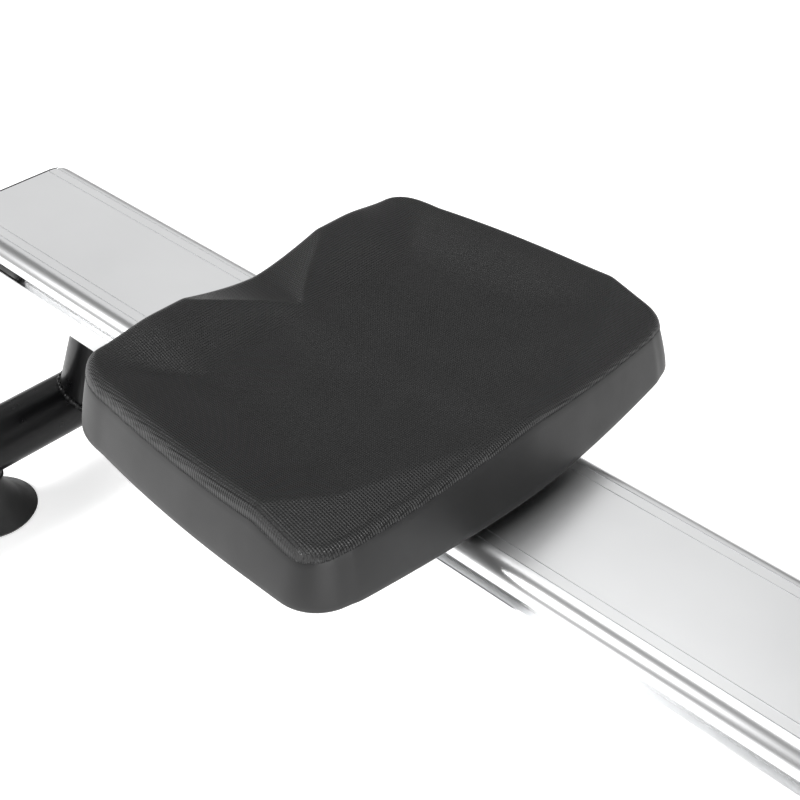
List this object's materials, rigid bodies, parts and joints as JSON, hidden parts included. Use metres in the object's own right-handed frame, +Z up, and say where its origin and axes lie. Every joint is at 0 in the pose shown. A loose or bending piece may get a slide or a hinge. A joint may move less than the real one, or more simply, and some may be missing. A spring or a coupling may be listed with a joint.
{
  "type": "rowing machine",
  "caption": "Indoor rowing machine: moulded seat rolling on an aluminium rail, strap-pulled handle, magnetically braked flywheel, footplates and console.",
  "frame": {"origin": "on the floor under the middle of the machine's length, on its centre plane", "axes": "+X towards the flywheel, +Y the rower's left, +Z up"},
  "size_m": [1.9982, 0.534, 0.967],
  "materials": {
    "anodised_aluminium": "satin clear anodised",
    "black_paint": "satin black powder coat",
    "black_rubber": "matt black rubber",
    "seat_foam": "moulded integral-skin foam, fine dotted texture",
    "zinc_steel": "bright zinc plated",
    "roller_white": "natural white urethane",
    "housing_plastic": "fine textured black ABS",
    "trim_grey": "dark grey satin plastic",
    "cast_flywheel": "machined cast iron",
    "webbing": "woven black webbing",
    "grip_foam": "matt black foam grip",
    "screen_glass": "dark gloss display window"
  },
  "bodies": {
    "frame": {"rail": "anodised_aluminium", "rail_end_cap": "black_rubber", "rail_stop_rear_left": "black_rubber", "rail_stop_rear_right": "black_rubber", "rail_stop_front_left": "black_rubber", "rail_stop_front_right": "black_rubber", "rear_stabiliser_tube": "black_paint", "rear_post": "black_paint", "rear_end_cap_left": "black_rubber", "rear_end_cap_right": "black_rubber", "rear_foot_left": "black_rubber", "rear_foot_right": "black_rubber", "side_plate_left": "black_paint", "side_plate_right": "black_paint", "rail_bracket": "black_paint", "front_stabiliser_tube": "black_paint", "foot_axle": "zinc_steel", "front_foot_left": "black_rubber", "front_foot_right": "black_rubber", "housing_left": "housing_plastic", "housing_right": "housing_plastic", "strap_guide": "trim_grey", "handle_cradle": "trim_grey", "flywheel_axle": "zinc_steel", "drum_axle": "zinc_steel", "drive_belt": "black_rubber", "brake_pin": "zinc_steel", "console_mast": "black_paint", "console_hinge_pin": "zinc_steel"},
    "carriage": {"seat_pad": "seat_foam", "carriage_plate": "zinc_steel", "roller_axle_front": "zinc_steel", "roller_axle_rear": "zinc_steel"},
    "handle": {"handle_bar": "zinc_steel", "handle_grip_left": "grip_foam", "handle_grip_right": "grip_foam", "handle_yoke": "trim_grey", "pull_strap": "webbing"},
    "flywheel": {"flywheel": "cast_flywheel"},
    "drum": {"strap_drum": "trim_grey"},
    "brake": {"brake_arm": "zinc_steel"},
    "knob": {"resistance_knob": "trim_grey"},
    "console": {"console_body": "housing_plastic", "console_screen": "screen_glass"},
    "footplate_left": {"footplate_left": "housing_plastic", "foot_strap_left": "webbing"},
    "footplate_right": {"footplate_right": "housing_plastic", "foot_strap_right": "webbing"},
    "heel_cup_left": {"heel_cup_left": "trim_grey"},
    "heel_cup_right": {"heel_cup_right": "trim_grey"},
    "transport_wheel_left": {"transport_wheel_left": "black_rubber"},
    "transport_wheel_right": {"transport_wheel_right": "black_rubber"},
    "top_roller_front_left": {"top_roller_front_left": "roller_white"},
    "top_roller_front_right": {"top_roller_front_right": "roller_white"},
    "top_roller_rear_left": {"top_roller_rear_left": "roller_white"},
    "top_roller_rear_right": {"top_roller_rear_right": "roller_white"},
    "low_roller_front_left": {"low_roller_front_left": "roller_white"},
    "low_roller_front_right": {"low_roller_front_right": "roller_white"},
    "low_roller_rear_left": {"low_roller_rear_left": "roller_white"},
    "low_roller_rear_right": {"low_roller_rear_right": "roller_white"}
  },
  "joints": [
    {"name": "seat_slide", "type": "slide", "parent": "frame", "child": "carriage", "axis": [1, 0, 0], "range_m": [-0.266, 0.64]},
    {"name": "handle_pull", "type": "slide", "parent": "frame", "child": "handle", "axis": [-1, 0, 0], "range_m": [0, 1.1], "stiffness_N_per_m": 15, "springref_m": -1.2, "deforming": ["pull_strap"]},
    {"name": "drum_spin", "type": "hinge", "parent": "frame", "child": "drum", "pos_m": [0.60415, 0, 0.455], "axis": [0, 1, 0], "range_deg": [-2140, 5]},
    {"name": "flywheel_spin", "type": "hinge", "parent": "frame", "child": "flywheel", "pos_m": [0.80415, 0, 0.28], "axis": [0, 1, 0], "continuous": true},
    {"name": "brake_swing", "type": "hinge", "parent": "frame", "child": "brake", "pos_m": [0.88912, 0, 0.43981], "axis": [0, 1, 0], "range_deg": [0, 5]},
    {"name": "knob_turn", "type": "hinge", "parent": "frame", "child": "knob", "pos_m": [0.74915, 0, 0.50016], "axis": [0.2879, 0, 0.9576], "range_deg": [0, 270]},
    {"name": "console_tilt", "type": "hinge", "parent": "frame", "child": "console", "pos_m": [0.56649, 0, 0.85964], "axis": [0, 1, 0], "range_deg": [-15, 20]},
    {"name": "footplate_swing_left", "type": "hinge", "parent": "frame", "child": "footplate_left", "pos_m": [0.33415, 0.139, 0.167], "axis": [0, 1, 0], "range_deg": [-12, 12]},
    {"name": "heel_slide_left", "type": "slide", "parent": "footplate_left", "child": "heel_cup_left", "axis": [0.6428, 0, 0.766], "range_m": [-0.01, 0.028]},
    {"name": "transport_wheel_spin_left", "type": "hinge", "parent": "frame", "child": "transport_wheel_left", "pos_m": [0.92915, 0.2353, 0.048], "axis": [0, 1, 0], "continuous": true},
    {"name": "footplate_swing_right", "type": "hinge", "parent": "frame", "child": "footplate_right", "pos_m": [0.33415, -0.139, 0.167], "axis": [0, 1, 0], "range_deg": [-12, 12]},
    {"name": "heel_slide_right", "type": "slide", "parent": "footplate_right", "child": "heel_cup_right", "axis": [0.6428, 0, 0.766], "range_m": [-0.01, 0.028]},
    {"name": "transport_wheel_spin_right", "type": "hinge", "parent": "frame", "child": "transport_wheel_right", "pos_m": [0.92915, -0.2353, 0.048], "axis": [0, 1, 0], "continuous": true},
    {"name": "top_roller_front_left_spin", "type": "hinge", "parent": "carriage", "child": "top_roller_front_left", "pos_m": [-0.52385, 0, 0.2528], "axis": [0, 1, 0], "range_deg": [-1460, 3500]},
    {"name": "top_roller_front_right_spin", "type": "hinge", "parent": "carriage", "child": "top_roller_front_right", "pos_m": [-0.52385, 0, 0.2528], "axis": [0, 1, 0], "range_deg": [-1460, 3500]},
    {"name": "top_roller_rear_left_spin", "type": "hinge", "parent": "carriage", "child": "top_roller_rear_left", "pos_m": [-0.64785, 0, 0.2528], "axis": [0, 1, 0], "range_deg": [-1460, 3500]},
    {"name": "top_roller_rear_right_spin", "type": "hinge", "parent": "carriage", "child": "top_roller_rear_right", "pos_m": [-0.64785, 0, 0.2528], "axis": [0, 1, 0], "range_deg": [-1460, 3500]},
    {"name": "low_roller_front_left_spin", "type": "hinge", "parent": "carriage", "child": "low_roller_front_left", "pos_m": [-0.53385, 0, 0.2232], "axis": [0, 1, 0], "range_deg": [-7345, 3060]},
    {"name": "low_roller_front_right_spin", "type": "hinge", "parent": "carriage", "child": "low_roller_front_right", "pos_m": [-0.53385, 0, 0.2232], "axis": [0, 1, 0], "range_deg": [-7345, 3060]},
    {"name": "low_roller_rear_left_spin", "type": "hinge", "parent": "carriage", "child": "low_roller_rear_left", "pos_m": [-0.63785, 0, 0.2232], "axis": [0, 1, 0], "range_deg": [-7345, 3060]},
    {"name": "low_roller_rear_right_spin", "type": "hinge", "parent": "carriage", "child": "low_roller_rear_right", "pos_m": [-0.63785, 0, 0.2232], "axis": [0, 1, 0], "range_deg": [-7345, 3060]}
  ],
  "couplings": [
    {"joint": "drum_spin", "follows": "handle_pull", "rad_per_m": -33.784},
    {"joint": "brake_swing", "follows": "knob_turn", "ratio": 0.016667},
    {"joint": "top_roller_front_left_spin", "follows": "seat_slide", "rad_per_m": 95.238},
    {"joint": "top_roller_front_right_spin", "follows": "seat_slide", "rad_per_m": 95.238},
    {"joint": "top_roller_rear_left_spin", "follows": "seat_slide", "rad_per_m": 95.238},
    {"joint": "top_roller_rear_right_spin", "follows": "seat_slide", "rad_per_m": 95.238},
    {"joint": "low_roller_front_left_spin", "follows": "seat_slide", "rad_per_m": -200},
    {"joint": "low_roller_front_right_spin", "follows": "seat_slide", "rad_per_m": -200},
    {"joint": "low_roller_rear_left_spin", "follows": "seat_slide", "rad_per_m": -200},
    {"joint": "low_roller_rear_right_spin", "follows": "seat_slide", "rad_per_m": -200}
  ]
}
